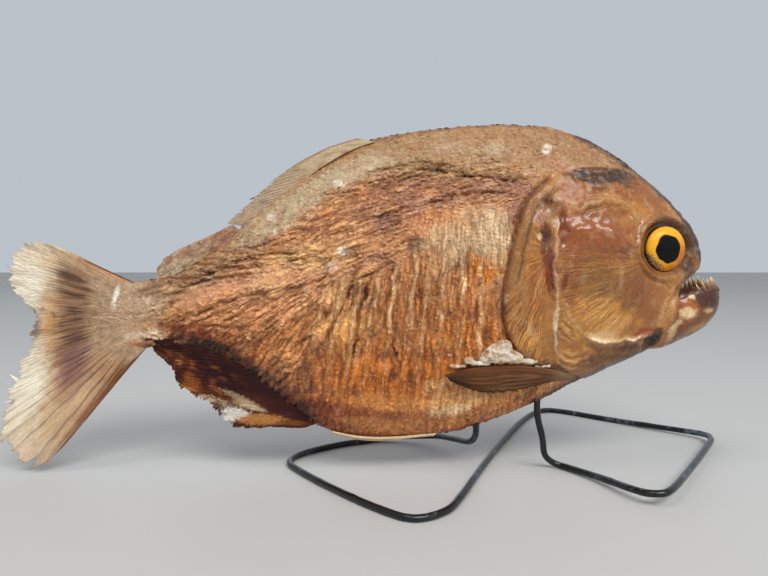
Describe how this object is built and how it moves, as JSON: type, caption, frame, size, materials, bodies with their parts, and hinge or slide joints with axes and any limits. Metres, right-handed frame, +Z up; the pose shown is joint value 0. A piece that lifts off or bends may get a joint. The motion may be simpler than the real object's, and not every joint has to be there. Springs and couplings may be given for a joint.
{
  "type": "mounted piranha",
  "caption": "Dried and varnished deep-bodied fish with an underslung toothy jaw and a forked tail, held level over the table by a stand bent from one wire into flat open loops.",
  "frame": {"origin": "middle of the base of the bounding box, on the table the stand rests on", "axes": "+X from the tail to the snout, +Y towards the fish's left side, +Z up"},
  "size_m": [0.2377, 0.1118, 0.1079],
  "materials": {
    "dried_skin": "varnished dried fish skin with small scales, wrinkled over the ribs",
    "head_skin": "smooth varnished skin drawn tight over the skull, glossy",
    "dried_fin": "dried rays and membrane, thinly varnished",
    "glass_eye": "polished taxidermy eye with a painted yellow iris and a dark pupil",
    "tooth": "bare tooth, slightly glossy",
    "filler": "pale dried residue and filler, matt",
    "black_wire": "steel wire thickly coated with black paint, scuffed in places"
  },
  "bodies": {
    "root": {"head": "head_skin", "lower_jaw": "head_skin", "gill_cover_right": "head_skin", "gill_cover_left": "head_skin", "eye_right": "glass_eye", "eye_left": "glass_eye", "trunk": "dried_skin", "tail_stem": "dried_skin", "tail_fin": "dried_fin", "dorsal_fin": "dried_fin", "adipose_fin": "dried_fin", "anal_fin": "dried_fin", "pectoral_fin_right": "dried_fin", "pectoral_fin_left": "dried_fin", "pelvic_fin_right": "dried_fin", "pelvic_fin_left": "dried_fin", "wire_stand": "black_wire"}
  },
  "joints": []
}
